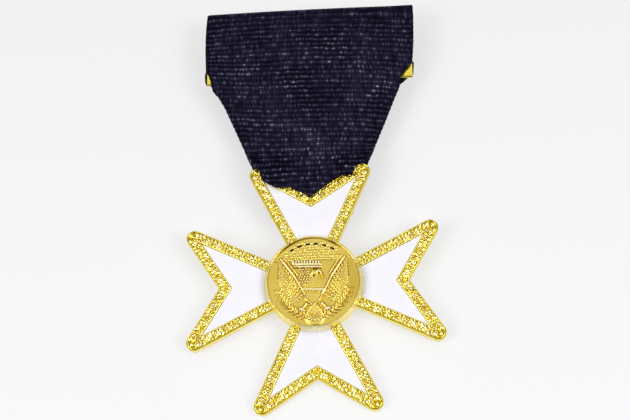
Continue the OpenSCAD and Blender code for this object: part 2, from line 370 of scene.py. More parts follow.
def noise(tree, scale, detail=3.0, roughness=0.55, stretch=(1.0, 1.0, 1.0)):
    """Noise from 0 to 1 on object coordinates. scale is in features for each metre, and a share
    under 1 in stretch makes the features longer that way."""
    place = add_node(tree, "TexCoord")
    squeezed = add_node(tree, "VectorMath", {0: place.outputs["Object"], 1: stretch},
                        operation="MULTIPLY")
    texture = add_node(tree, "TexNoise", {"Vector": squeezed.outputs["Vector"], "Scale": scale,
                                          "Detail": detail, "Roughness": roughness})
    return texture.outputs["Fac"]


def add_bump(tree, shader, height, depth, strength=1.0):
    """Bumps on the shader's normal, depth metres deep from a height of 0 to a height of 1."""
    bump = add_node(tree, "Bump", {"Height": height, "Distance": depth, "Strength": strength})
    set_inputs(tree, shader, {"Normal": bump.outputs["Normal"]})


def gilt(name, tones, gloss, grain):
    """Metal whose tint follows the attribute relief through tones, a list of (relief, colour) from
    the pits, dark partly as painted shade, to the peaks, pale as painted highlight, with a slow
    drift of the tint, roughness that wanders between the two numbers of gloss, and a fine grain of
    so many features for each metre. The tint is kept at low angles too, where a metal without this
    turns white."""
    material, tree, shader = new_material(name)
    relief = add_node(tree, "Attribute", attribute_name="relief")
    tone = colour_ramp(tree, relief.outputs["Fac"], tones)
    drift = colour_ramp(tree, noise(tree, DRIFT_SCALE), TINT_DRIFT)
    tint = add_node(tree, "Mix", {"Factor": 1.0, "A": tone, "B": drift},
                    data_type="RGBA", blend_type="MULTIPLY")
    smudge = noise(tree, SMUDGE_SCALE, detail=5.0)
    set_inputs(tree, shader, {"Metallic": 1.0, "Specular Tint": LOW_ANGLE_TINT,
                              "Base Color": tint.outputs["Result"],
                              "Roughness": map_value(tree, smudge, *gloss)})
    add_bump(tree, shader, noise(tree, grain, detail=2.0), GRAIN_DEPTH)
    return material


# From pit to peak: the dark low end is partly unpolished gilt and partly painted shade, the pale
# high end is painted highlight
BRIGHT_TONES = [(0.0, (0.23, 0.155, 0.002)), (0.4, (0.84, 0.672, 0.025)),
                (0.75, (0.98, 0.92, 0.26)), (0.95, (1.0, 0.98, 0.62)), (1.0, (0.97, 0.92, 0.66))]
SATIN_TONES = [(0.0, (0.1, 0.05, 0.0)), (0.3, (0.5, 0.35, 0.03)), (0.5, (0.74, 0.56, 0.12)),
               (0.7, (0.92, 0.76, 0.22)), (1.0, (1.0, 0.97, 0.68))]
PLAIN_TONES = [(0.0, (0.88, 0.73, 0.11)), (1.0, (0.88, 0.73, 0.11))]
gilt_bright = gilt("gilt_bright", BRIGHT_TONES, (0.1, 0.2), 5200.0)
gilt_satin = gilt("gilt_satin", SATIN_TONES, (0.19, 0.32), 7000.0)
gilt_plain = gilt("gilt_plain", PLAIN_TONES, (0.1, 0.22), 3000.0)

# %% [markdown]
# ## The struck arms
# Each arm is a forked shape with a raised border round a sunk field. The border could be a flat
# ring with a bump texture, but it glitters in the picture because its relief is real, so it is
# modelled: one profile, from the wall of the recess over the inner rim, the textured channel, the
# outer rim and the rounded edge down to the back, is carried round the arm. The path bends round
# the tips in arcs whose radius grows with the distance from the enamel, so no two rows cross.

# %% The outline of an arm
ENAMEL_REACH = 19.2
ENAMEL_HALF = 8.2
NOTCH_REACH = 14.0
SIDE_MEET = 2.5
BORDER_W = 1.8
TIP_R = 1.4
HUB_R = 7.7
ARM_FOOT_R = HUB_R - 0.05
LEAST_G = 0.02
MID_G = 0.87
SIDE_STEPS, TIP_STEPS, NOTCH_STEPS = 250, 40, 140
ARMS = {"top": 0, "left": 90, "bottom": 180, "right": 270}

side_run = np.array([ENAMEL_HALF, ENAMEL_REACH - SIDE_MEET])
side_run /= np.linalg.norm(side_run)
side_out = np.array([side_run[1], -side_run[0]])
notch_run = np.array([ENAMEL_HALF, ENAMEL_REACH - NOTCH_REACH])
notch_run /= np.linalg.norm(notch_run)
notch_out = np.array([-notch_run[1], notch_run[0]])


def tip_at(g):
    """Where the arm's side and its notch cross when both are moved outwards by g."""
    g = np.asarray(g, float)
    along = np.stack([side_out[1] * SIDE_MEET + g, notch_out[1] * NOTCH_REACH + g], axis=-1)
    return along @ np.linalg.inv(np.stack([side_out, notch_out])).T


def running_length(line):
    """The length along a line at each of its points."""
    steps = np.linalg.norm(np.diff(line, axis=0), axis=1)
    return np.concatenate([[0], np.cumsum(steps)])


def side_at_radius(foot, radius):
    """Where a line that starts at foot and runs like the arm's side crosses a circle."""
    reach = foot @ side_run
    up_side = np.sqrt(reach**2 - (foot**2).sum(-1) + radius**2) - reach
    return foot + side_run * up_side[..., None]


def half_path(g):
    """The right half of the border's path at each distance g from the enamel: straight up the side
    from the hub, round the tip on an arc of radius TIP_R * g / BORDER_W, straight to the notch.
    Gives an array of (steps, len(g), 2) points. LEAST_G keeps every arc from being a point."""
    g = np.asarray(g, float)
    r = TIP_R * np.maximum(g, LEAST_G) / BORDER_W
    c = tip_at(g - r)
    foot = np.stack([np.zeros_like(g), SIDE_MEET + g / side_out[1]], axis=-1)
    start = side_at_radius(foot, ARM_FOOT_R)
    side_end = c + r[:, None] * side_out
    notch_start = c + r[:, None] * notch_out
    notch_end = np.stack([np.zeros_like(g), NOTCH_REACH + g / notch_out[1]], axis=-1)
    t = np.linspace(0, 1, SIDE_STEPS, endpoint=False)[:, None, None]
    side = start + (side_end - start) * t
    a0 = math.atan2(side_out[1], side_out[0])
    a1 = math.atan2(notch_out[1], notch_out[0])
    a = np.linspace(a0, a1, TIP_STEPS, endpoint=False)[:, None]
    arc = c + np.stack([r * np.cos(a), r * np.sin(a)], axis=-1)
    t = np.linspace(0, 1, NOTCH_STEPS)[:, None, None]
    notch = notch_start + (notch_end - notch_start) * t
    return np.concatenate([side, arc, notch])


mid_length = running_length(half_path([MID_G])[:, 0])
tip_length = mid_length[SIDE_STEPS + TIP_STEPS // 2]
print(f"border: {tip_length:.1f} mm to the tip, {mid_length[-1]:.1f} mm to the notch")

# %% [markdown]
# The border's ornament is the glitter of a struck and bright-cut edge: three lanes of flat-topped
# grains, close together, each a little larger or smaller and tipped its own way. A tipped grain
# throws back another part of the room than its neighbour, and that is what makes the border
# sparkle. Over the grains stand larger level beads near the outer rim, one to every third grain,
# and between them rosettes with a pit, each in a moat of its own. All are worked out at once: a
# point finds its nearest grain or bead by rounding how far along the channel it is.

# %% The ornament of the border
PITCH = 1.4
RELIEF = 0.25

# For each lane its offset from the channel's middle, the shift of its grains along it and their
# radius; for each row of beads the same and the depth of their pit
LANES = [(-0.44, 0.0, 0.29), (0.0, 0.5, 0.33), (0.44, 0.0, 0.29)]
BEADS = [(0.26, 0.0, 0.34, 0.0), (-0.2, 0.5, 0.32, 0.9)]

BEAD_EVERY = 3
GRAINS = 97
GRAIN_TOP = 0.75
CROWN = 0.15
PIT_R, PIT_EDGE = 0.17, 0.08
SOFT_EDGE = 0.09
MOAT_W = 0.1
rng = np.random.default_rng(11)
grain_size = rng.uniform(0.8, 1.2, (3, GRAINS))
grain_shift = rng.uniform(-0.07, 0.07, (2, 3, GRAINS))
grain_tip = rng.uniform(-1.05, 1.05, (2, 3, GRAINS))


def along_channel():
    """Pitch count at each point of the half path: whole numbers at the tip and at the notch."""
    to_tip = round(tip_length / PITCH)
    to_notch = round((mid_length[-1] - tip_length) / PITCH)
    return np.interp(mid_length, [0, tip_length, mid_length[-1]], [0, to_tip, to_tip + to_notch])


def ornament(count, across):
    """Height from 0 to 1 of the ornament at pitch count count and distance across mm from the
    channel's middle: the highest of the grains of the three lanes, two to a pitch in each, or else
    a bead or a rosette, which clears the grains out of its way."""
    raised = np.zeros_like(across)
    for lane, (offset, shift, radius) in enumerate(LANES):
        along = count * 2 + shift
        grain = np.round(along)
        n = grain.astype(int) % GRAINS
        u = (along - grain) * PITCH / 2 - grain_shift[0, lane, n]
        v = across - offset - grain_shift[1, lane, n]
        top = GRAIN_TOP + grain_tip[0, lane, n] * u + grain_tip[1, lane, n] * v
        inside = radius * grain_size[lane, n] - np.hypot(u, v)
        raised = np.maximum(raised, top * smooth(inside / SOFT_EDGE))
    for offset, shift, radius, pit in BEADS:
        along = count * 2 / BEAD_EVERY + shift
        u = (along - np.round(along)) * BEAD_EVERY * PITCH / 2
        from_middle = np.hypot(u, across - offset)
        top = 1 - CROWN * (from_middle / radius) ** 2
        top -= pit * smooth((PIT_R - from_middle) / PIT_EDGE)
        raised *= smooth((from_middle - radius) / MOAT_W)
        raised = np.maximum(raised, top * smooth((radius - from_middle) / SOFT_EDGE))
    return np.minimum(raised, 1.0)


# %% The border carried round an arm
# The profile across the border: distance from the enamel and height over the back
RECESS_Z = 0.85
FLOOR_Z = CROSS_T - 0.3
INNER = [(0.0, RECESS_Z), (0.0, 1.3), (0.01, 1.7), (0.04, 1.77), (0.08, CROSS_T - 0.01),
         (0.13, CROSS_T - 0.02), (0.17, 1.7)]
OUTER = [(1.56, 1.7), (1.59, 1.76), (1.62, 1.765), (1.66, 1.74), (1.71, 1.67), (1.76, 1.57),
         (BORDER_W, 1.43), (BORDER_W, 0.8), (BORDER_W, 0.2), (1.77, 0.08), (1.7, 0.02), (1.6, 0.0)]
CHANNEL_LOW, CHANNEL_HIGH, CHANNEL_COLS = 0.2, 1.53, 22
channel = [(g, FLOOR_Z) for g in np.linspace(CHANNEL_LOW, CHANNEL_HIGH, CHANNEL_COLS)]
BORDER = np.array(INNER + channel + OUTER)

# The number for the tint: of the smooth rims, the rounded edge, low as painted shade, the outer
# wall, high as painted highlight, and the recess's wall, then of the channel's floor, low as
# painted shade with unpolished gilt, and the most that a grain may have
RIM_TONE, EDGE_SHADE_TONE, WALL_SHINE_TONE, RECESS_TONE = 0.72, 0.25, 1.0, 0.3
FLOOR_TONE, PEAK_TONE = 0.15, 0.95


def with_height(flat, z):
    """Points (x, y) with a height for each, or one height for all."""
    return np.concatenate([flat, np.broadcast_to(z, flat.shape[:-1])[..., None]], axis=-1)


def arm_border():
    """The profile carried round one arm, from the hub's right to the hub's left, with the ornament
    added in the channel, as (x, y, z), and the number for the tint at each point, which in the
    channel rises with the ornament, from painted shade on the floor to painted highlight on the
    grains."""
    g, z = BORDER[:, 0], BORDER[:, 1]
    half, half_count = half_path(g), along_channel()
    path = np.concatenate([half, half[::-1][1:] * [-1, 1]])
    count = np.concatenate([half_count, half_count[::-1][1:]])
    count, across = np.broadcast_arrays(count[:, None], (g - MID_G)[None, :])
    in_channel = (z == FLOOR_Z)[None, :]
    raised = ornament(count, across)
    height = z[None, :] + raised * in_channel * RELIEF
    # The floor between the grains is dark, partly unpolished gilt and partly painted shade; grain
    # tops grow paler as painted highlight
    tone = np.clip(FLOOR_TONE + 1.05 * raised, 0, PEAK_TONE)
    relief = np.where(in_channel, tone, RIM_TONE)
    # The rounded outer edge gets a dark tint: painted shade
    relief[:, g > 1.65] = EDGE_SHADE_TONE
    # The outer wall gets the palest tint: painted highlight
    relief[:, (g == BORDER_W) & (z < 1.5)] = WALL_SHINE_TONE
    relief[:, g == 0] = RECESS_TONE
    return with_height(path, height), relief


def turned(points, degrees):
    """Points turned about the Z axis of the flat drawing."""
    a = math.radians(degrees)
    spin = np.array([[math.cos(a), math.sin(a), 0], [-math.sin(a), math.cos(a), 0], [0, 0, 1]])
    return points @ spin


def make_arms():
    """Four arms: the border sheet, closed by the recess floor, the back and the wall at the hub."""
    border, relief = arm_border()
    for name, degrees in ARMS.items():
        sheet = turned(border, degrees)
        floor, back_face = sheet[:, 0], sheet[:, -1]
        foot = np.concatenate([sheet[0], sheet[-1][::-1]])
        arm = skin(f"arm_{name}", [sheet], gilt_bright, caps=[floor, back_face, foot], crease=50,
                   attributes={"relief": [relief]})
        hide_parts("cross")


make_arms()

# %% [markdown]
# ## The hub and the bail
# The four arms meet in a disc that carries the medallion, with a shallow boss on the back where the
# rivet is spread. Behind the upper arm a wire bail is soldered on, which the ribbon passes through.
# A disc is a profile turned round the axis; the wire is a circle carried along its bent line.

# %% The hub
HUB_PROFILE = [(0, -0.1), (2.0, -0.1), (2.1, -0.04), (2.3, -0.06), (7.3, -0.06), (7.55, -0.02),
               (HUB_R, 0.12), (HUB_R, 1.6), (7.6, CROSS_T), (0, CROSS_T)]
HUB_TURNS = 160


def full_turn(count):
    """count equal angles round a circle."""
    return np.linspace(0, 2 * np.pi, count, endpoint=False)


def revolved(profile, angle):
    """A sheet with each (radius, height) point of a profile at each angle round the Z axis."""
    profile = np.asarray(profile, float)
    return np.stack([profile[:, :1] * np.cos(angle), profile[:, :1] * np.sin(angle),
                     profile[:, 1:] * np.ones(len(angle))], axis=-1)


hub = skin("hub", [(revolved(HUB_PROFILE, full_turn(HUB_TURNS)),)], gilt_plain)
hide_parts("cross")

# %% The bail
BAR_D = 1.0
BAR_Y = 13.5
LEG_X = 6.85
LEG_TOP = 0.3
BEND_R = 0.8
BAR_PLAY = 0.15
RIBBON_GAP = 0.15
CLOTH_T = 1.0
BAR_Z = -RIBBON_GAP - CLOTH_T - BAR_D / 2 - BAR_PLAY


def capped(name, tube):
    """A closed piece of plain gilt from one tube with flat ends."""
    return skin(name, [(tube,)], gilt_plain, caps=[tube[0], tube[-1]])


def wire(line, radius, sides=20):
    """A tube round a line that lies in the plane y = constant: circles across the line's tangent,
    given by the in-plane normal and the Y axis."""
    run = np.gradient(line, axis=0)
    run /= np.linalg.norm(run, axis=1)[:, None]
    sideways = np.stack([-run[:, 2], np.zeros(len(run)), run[:, 0]], axis=-1)
    angle = full_turn(sides)
    return (line[:, None] + radius * (np.cos(angle)[None, :, None] * sideways[:, None]
                                      + np.sin(angle)[None, :, None] * np.array([0, 1.0, 0])))


def make_bail():
    """A U of wire: two legs up to the arm's back, joined by the bar through two bends."""
    a = np.linspace(0, np.pi / 2, 12)
    leg_z = np.linspace(LEG_TOP, BAR_Z + BEND_R, 6)
    x = np.concatenate([np.full(6, LEG_X), (LEG_X - BEND_R + BEND_R * np.cos(a))[1:]])
    z = np.concatenate([leg_z, (BAR_Z + BEND_R - BEND_R * np.sin(a))[1:]])
    right_half = np.stack([x, np.full_like(x, BAR_Y), z], axis=-1)
    line = np.concatenate([right_half, right_half[::-1] * [-1, 1, 1]])
    bail = capped("bail", wire(line, BAR_D / 2))
    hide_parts("cross")


make_bail()

# %% [markdown]
# ## The enamel
# Vitreous enamel is glass melted into the recess and stoned flat, so it is white, glossy and almost
# level. A plain polygon would be dead flat to the rim, so each field is a grid: the trunk of the
# arm between its two sides, and a horn towards each tip that is ruled between the side and the
# notch. A rounded shoulder falls off near every edge.

# %% The enamel fields
ENAMEL_GAP = 0.05
SUNK = 0.25
ENAMEL_T = 0.65
ENAMEL_TOP = CROSS_T - SUNK
ENAMEL_LOW = CROSS_T - SUNK - ENAMEL_T
SHOULDER = 0.35
SHOULDER_DROP = 0.07
ENAMEL_WHITES = [(0.35, (0.775, 0.765, 0.825)), (0.65, (0.805, 0.79, 0.845))]
RIPPLE_DEPTH = 0.02 * MM


def enamel_material():
    """White that drifts a little between two tones, under a thin clear coat with slow ripples."""
    material, tree, shader = new_material("white_enamel")
    white = colour_ramp(tree, noise(tree, 420.0, detail=4.0), ENAMEL_WHITES)
    set_inputs(tree, shader, {"Base Color": white, "Roughness": 0.22, "Coat Weight": 0.6,
                              "Coat Roughness": 0.05})
    add_bump(tree, shader, noise(tree, 700.0, detail=1.0), RIPPLE_DEPTH, strength=0.4)
    return material


def enamel_edges():
    """Corner points of one field, drawn in by the gap: side foot, tip and notch."""
    g = -ENAMEL_GAP
    tip = tip_at(g)
    foot = np.array([0, SIDE_MEET + g / side_out[1]])
    notch = np.array([0, NOTCH_REACH + g / notch_out[1]])
    return foot, tip, notch


def quarter_round(x):
    """The fall of a rounded shoulder: 1 at its edge, where x is 0, and 0 from x = 1 on."""
    x = np.clip(x, 0.0, 1.0)
    return 1 - np.sqrt(1 - (1 - x) ** 2)


def edge_distance(p):
    """Distance in mm from each point to the nearest of the two sides, the notch and the hub."""
    foot, _, notch = enamel_edges()
    q = np.stack([np.abs(p[..., 0]), p[..., 1]], axis=-1)
    to_side = (foot - q) @ side_out
    to_notch = (notch - q) @ notch_out
    to_hub = np.linalg.norm(q, axis=-1) - HUB_R - ENAMEL_GAP
    return np.minimum(np.minimum(to_side, to_notch), to_hub)


def enamel_sheets(steps=46):
    """Trunk: rows from the hub's circle up to the notch, columns from side to side. Horns: rows
    from the notch's level up to the tip, columns from the notch line to the side."""
    foot, tip, notch = enamel_edges()
    u = np.linspace(-1, 1, 2 * steps + 1)
    hub_r = HUB_R + ENAMEL_GAP
    corner = side_at_radius(foot, hub_r)
    side_top = foot + side_run * (notch[1] - foot[1]) / side_run[1]
    swing = math.atan2(corner[0], corner[1])
    low = hub_r * np.stack([np.sin(u * swing), np.cos(u * swing)], axis=-1)
    high = np.stack([u * side_top[0], np.full_like(u, notch[1])], axis=-1)
    t = np.linspace(0, 1, steps)[:, None, None]
    w = np.linspace(0, 1, steps + 1)[None, :, None]
    trunk = low + (high - low) * t
    inner = notch + (tip - notch) * t
    outer = side_top + (tip - side_top) * t
    horn = inner + (outer - inner) * w
    return [trunk, horn, horn * [-1, 1]]


def enamel_rim():
    """The outline of the field as one closed run of the sheets' own edge points."""
    trunk, horn, _ = enamel_sheets()
    right_side = np.concatenate([trunk[:, -1], horn[1:, -1], horn[::-1][1:, 0]])
    left_side = right_side[::-1][1:] * [-1, 1]
    return np.concatenate([trunk[0, :-1], right_side, left_side[:-1], trunk[0, :1]])


def make_enamel():
    """Four fields: each sheet once as the top, with its rounded shoulder, and once as the flat
    underside, and a wall that follows the rim between the two."""
    glaze = enamel_material()
    sheets = []
    for flat in enamel_sheets():
        top = ENAMEL_TOP - SHOULDER_DROP * quarter_round(edge_distance(flat) / SHOULDER)
        sheets += [with_height(flat, top), with_height(flat, ENAMEL_LOW)]
    rim = enamel_rim()
    sheets.append(np.stack([with_height(rim, ENAMEL_LOW),
                            with_height(rim, ENAMEL_TOP - SHOULDER_DROP)]))
    for name, degrees in ARMS.items():
        placed = [turned(sheet, degrees) for sheet in sheets]
        field = skin(f"white_{name}", placed, glaze, crease=35)
        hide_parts(f"enamel_{name}")


make_enamel()

# %% [markdown]
# ## The medallion
# The centre is a separate struck disc, domed like a button, with a raised bird, a plain shield,
# two leafy sprays and an arc of six slots under the rim. Sculpting it by hand would take days, and
# a bump map would vanish at a low angle, so the relief is a height for each point of a fine grid.
# Every feather, leaf and bar is a stroke: a line with a rounded top whose height falls off with the
# distance from it. Strokes are laid over each other by keeping the highest.

# %% Strokes of relief
MEDAL_R = 8.36
RIM_Z = CROSS_T + 1.55
MEDAL_LOW = CROSS_T + 0.05
FIELD_R = 7.66
FIELD_EDGE_Z = RIM_Z - 0.34
FIELD_RISE = 0.25
HOLLOW_R = 6.85
HOLLOW_RISE = 0.12
bead_rng = np.random.default_rng(5)


def bulge(distance, width):
    """A rounded top: 1 on the line, 0 at width, with sides that are steep but not upright."""
    return np.clip(1 - (distance / width) ** 2, 0, 1) ** 0.75


def along_line(p, a, b):
    """How far along a to b the nearest point is, from 0 to 1, and the distance to it."""
    a, b = np.asarray(a, float), np.asarray(b, float)
    run = b - a
    t = np.clip(((p - a) @ run) / (run @ run), 0, 1)
    return t, np.linalg.norm(p - a - t[..., None] * run, axis=-1)


def stroke(p, a, b, width, height, end_width=None):
    """A round bar from a to b that may taper from width to end_width."""
    t, distance = along_line(p, a, b)
    return height * bulge(distance, width + ((end_width or width) - width) * t)


def bar(p, a, b, width, height):
    """A straight bar with a flat top and sloping sides."""
    return height * smooth((width - along_line(p, a, b)[1]) / 0.09 + 0.5)


def hump(x):
    """A bell curve: 1 where x is 0, about a third where it is 1 or -1."""
    return np.exp(-x**2)


def feather(p, a, b, width, height):
    """A stroke that swells towards its tip, with a fine groove down its middle."""
    t, distance = along_line(p, a, b)
    groove = 0.4 * hump(distance / (0.25 * width))
    return height * (0.7 + 0.3 * t) * bulge(distance, width * (0.8 + 0.3 * t)) * (1 - groove)


def pellet(p, c, radius, height):
    """A round bead with a broad top and a steep side."""
    distance = np.linalg.norm(p - np.asarray(c, float), axis=-1) / radius
    return height * smooth((1 - distance) / 0.36) * (1 - 0.15 * np.clip(distance, 0, 1) ** 2)


def plate_inside(p, corners, height, soft):
    """A flat raised plate with convex corners that slopes off over soft mm, and the depth in it."""
    corners = np.asarray(corners, float)
    run = np.roll(corners, -1, axis=0) - corners
    out = np.stack([run[:, 1], -run[:, 0]], axis=-1) / np.linalg.norm(run, axis=1)[:, None]
    depth = (-((p[..., None, :] - corners) * out).sum(-1)).min(-1)
    return height * smooth(depth / soft + 0.5), depth


# %% The wings, the sprays and the tail
WING_ROOT = np.array([1.5, -2.3])
WING_BEND = np.array([3.1, 0.8])
WING_TIP = np.array([5.4, 4.1])
WING_BREAK = 0.55
WING_SPAN = 5.85
SPRAY_R = 6.0
BEAD_JITTER = 0.07


def heading(degrees):
    """The unit vector so many degrees round from the X axis, and the one a quarter turn on."""
    a = math.radians(degrees)
    return np.array([math.cos(a), math.sin(a)]), np.array([-math.sin(a), math.cos(a)])


def jittered(place, reach):
    """A place moved at random by up to reach in each direction."""
    return np.asarray(place) + bead_rng.uniform(-reach, reach, 2)


def wing_line(t):
    """A point on the wing's leading edge: from the tip at t = 0 over the bend to the root at 1."""
    if t < WING_BREAK:
        return WING_TIP + (WING_BEND - WING_TIP) * t / WING_BREAK
    return WING_BEND + (WING_ROOT - WING_BEND) * (t - WING_BREAK) / (1 - WING_BREAK)


def wing(p):
    """A high leading edge in two strokes, a second thin one inside it, long feathers that fan out
    below, and four rows of beads over their roots."""
    inner = np.array([-0.55, 0.3])
    parts = [stroke(p, WING_TIP, WING_BEND, 0.3, 0.46), stroke(p, WING_BEND, WING_ROOT, 0.25, 0.44),
             stroke(p, WING_TIP + inner, WING_BEND + inner * 0.9, 0.16, 0.26)]
    for t in np.linspace(0.0, 0.96, 12):
        root = wing_line(t) + [0.25, -0.2]
        end = root + (3.3 - 1.3 * t) * heading(-88 + 56 * t)[0]
        parts.append(feather(p, root, end, 0.24, 0.15))
    for offset in (0.55, 1.1, 1.65, 2.2):
        for t in np.arange(0.12 + 0.04 * offset, 1.02, 0.083):
            place = jittered(wing_line(t) + np.array([0.85, -0.5]) * offset, BEAD_JITTER)
            if place[0] < WING_SPAN:
                parts.append(pellet(p, place, 0.2, 0.33))
    return np.maximum.reduce(parts)


def spray(p):
    """Nine pairs of leaves that follow a circle round the centre, with a berry in each pair."""
    parts = []
    for i in range(9):
        out, ahead = heading(-76 + 7.2 * i)
        root = SPRAY_R * out
        for side in (-1, 1):
            parts.append(feather(p, root, root + 0.68 * ahead + side * 0.55 * out, 0.19, 0.3))
        parts.append(pellet(p, root + 0.4 * ahead, 0.14, 0.34))
    return np.maximum.reduce(parts)


def tail(p):
    """Seven feathers that fan out downwards under the shield, each with a bead at its end, on a
    ground that is raised a little."""
    parts = [stroke(p, (0, -4.7), (0, -6.0), 1.0, 0.24, 1.7)]
    for i in range(-3, 4):
        end = (0.5 * i, -6.65 + 0.06 * i * i)
        parts += [feather(p, (0.2 * i, -4.4), end, 0.26, 0.4), pellet(p, end, 0.24, 0.46)]
    return np.maximum.reduce(parts)


def claws(p):
    """Two short legs with four toes each that hold the sprays."""
    foot = np.array([2.0, -4.7])
    parts = [stroke(p, (1.3, -3.9), foot, 0.32, 0.46, 0.26)]
    for toe in ((0.95, 0.0), (0.7, -0.4), (0.15, -0.6), (-0.4, -0.5)):
        parts.append(stroke(p, foot, foot + toe, 0.27, 0.52, 0.16))
    return np.maximum.reduce(parts)


# %% The head, the shield, the crest and the slots
SHIELD = [(-2.05, -1.36), (-1.62, -3.0), (-0.25, -4.5), (1.18, -3.15), (1.8, -1.62)]
CREST_R = 7.2
SLOT_R = 6.6
SLOT_DEPTH = 0.4
SLOT_PLACES = (-31.5, -19.0, -6.5, 5.5, 18.0, 31.0)


def waves(x, pitch):
    """Waves along x from -1 to 1, one to a pitch."""
    return np.cos(2 * np.pi * x / pitch)


def head_and_neck(p):
    """A head in profile with a hooked bill and an eye, on a broad low breast with fine scales
    between the wings, with rows of beads down one side of the neck."""
    parts = [stroke(p, (0.1, 1.5), (0.5, 1.6), 0.7, 0.36, 0.5),
             stroke(p, (-0.2, 1.1), (-0.1, -1.0), 0.85, 0.07, 2.1),
             stroke(p, (0.8, 1.8), (1.3, 1.45), 0.26, 0.5, 0.24),
             stroke(p, (1.3, 1.45), (1.65, 0.6), 0.24, 0.5, 0.14)]
    for row, y in enumerate(np.arange(-0.1, 2.2, 0.44)):
        for x in np.arange(-2.3 + 0.2 * (row % 2), -0.5, 0.46):
            parts.append(pellet(p, jittered((x, y), BEAD_JITTER), 0.21, 0.34))
    body = np.maximum.reduce(parts)
    body -= 0.16 * pellet(p, (0.3, 1.6), 0.17, 1.0)
    scales = waves(p[..., 1] + 0.1 * waves(p[..., 0], 0.44), 0.44)
    scales *= smooth((1.1 - p[..., 1]) / 0.3) * (body > 0.03) * (body < 0.15)
    return body + 0.016 * scales


def shield(p):
    """A plain shield: raised border, a smooth chief and a field of fine level lines."""
    plate, depth = plate_inside(p, SHIELD, 0.14, 0.1)
    rim = 0.31 * hump((depth - 0.14) / 0.13) * smooth(depth / 0.05 + 1)
    lines = 0.01 * waves(p[..., 1], 0.26) * smooth((depth - 0.25) / 0.1)
    return plate + rim + lines * smooth((-2.15 - p[..., 1]) / 0.1)


def crest(p):
    """Between the wings two level bars under a comb of teeth, with rows of small pellets above on a
    ground that is raised a little, and a third bar with a row of pellets on the shield's head."""
    parts = [0.08 * smooth((p[..., 1] - 3.5) / 0.4), bar(p, (-3.0, 2.62), (1.4, 2.4), 0.16, 0.46),
             bar(p, (-3.1, 3.03), (1.35, 2.81), 0.2, 0.48),
             bar(p, (-1.95, -1.36), (1.7, -1.56), 0.17, 0.44)]
    for x in np.arange(-3.3, 1.4, 0.48):
        parts.append(bar(p, (x, 2.96 - 0.05 * x), (x, 3.36 - 0.05 * x), 0.19, 0.48))
    for x in np.arange(-1.4, 1.6, 0.4):
        parts.append(pellet(p, (x, -1.93 - 0.05 * x), 0.15, 0.44))
    for row, y in enumerate(np.arange(3.95, CREST_R, 0.47)):
        half = min(4.6, math.sqrt(CREST_R**2 - y**2) - 0.3)
        for x in np.arange(-half + 0.25 * (row % 2), half, 0.52):
            parts.append(pellet(p, jittered((x, y), 0.1), bead_rng.uniform(0.2, 0.28), 0.18))
    return np.maximum.reduce(parts)


def slots(p):
    """How deep the six short slots are, on a circle just inside the rim at the top."""
    parts = []
    for degrees in SLOT_PLACES:
        out, ahead = heading(90 - degrees)
        parts.append(stroke(p, SLOT_R * out - 0.2 * ahead, SLOT_R * out + 0.2 * ahead, 0.18, 1.0))
    return np.minimum(np.maximum.reduce(parts) * 1.6, 1.0)


def medal_height(p):
    """The height over the field at each point: the highest stroke, less the slots."""
    q = np.stack([np.abs(p[..., 0]), p[..., 1]], axis=-1)
    parts = [wing(q), spray(q), claws(q), tail(p), crest(p), shield(p), head_and_neck(p)]
    cut = slots(p)
    return np.maximum.reduce(parts) * (1 - cut) - SLOT_DEPTH * cut


# %% [markdown]
# A disc can be cut into rings and spokes, but those crowd at the middle, where the bird needs even
# points. Here a square grid is pressed into the disc instead: each square ring becomes a circle and
# the place along each side of the square becomes an angle, so all cells are nearly the same size.

# %% The medallion
MEDAL_GRID = 284
RIM_IN = 7.71
POST_R, POST_LOW = 1.5, 0.3

# In degrees: where the groove under the rim gets painted shade, from the top, and how far; where
# the rim gets painted highlight, round from the X axis, and how far
GROOVE_SHADE = [(-32, 16), (28, 9)]
RIM_SHINE_AT, RIM_SHINE_SPREAD = (28, 152, 270), 15


def disc_grid(n):
    """A square grid of n by n points pressed into the unit disc."""
    s = np.linspace(-1, 1, n)
    x, y = np.meshgrid(s, s, indexing="xy")
    wide = np.abs(x) > np.abs(y)
    radius = np.where(wide, x, y)
    safe = np.where(radius == 0, 1, radius)
    angle = np.where(wide, np.pi / 4 * y / safe, np.pi / 2 - np.pi / 4 * x / safe)
    return np.stack([radius * np.cos(angle), radius * np.sin(angle)], axis=-1)


def softened(values, reach):
    """The mean of each value's neighbours up to reach cells away both ways, by shifted sums."""
    for axis in (0, 1):
        values = sum(np.roll(values, k, axis) for k in range(-reach, reach + 1)) / (2 * reach + 1)
    return values


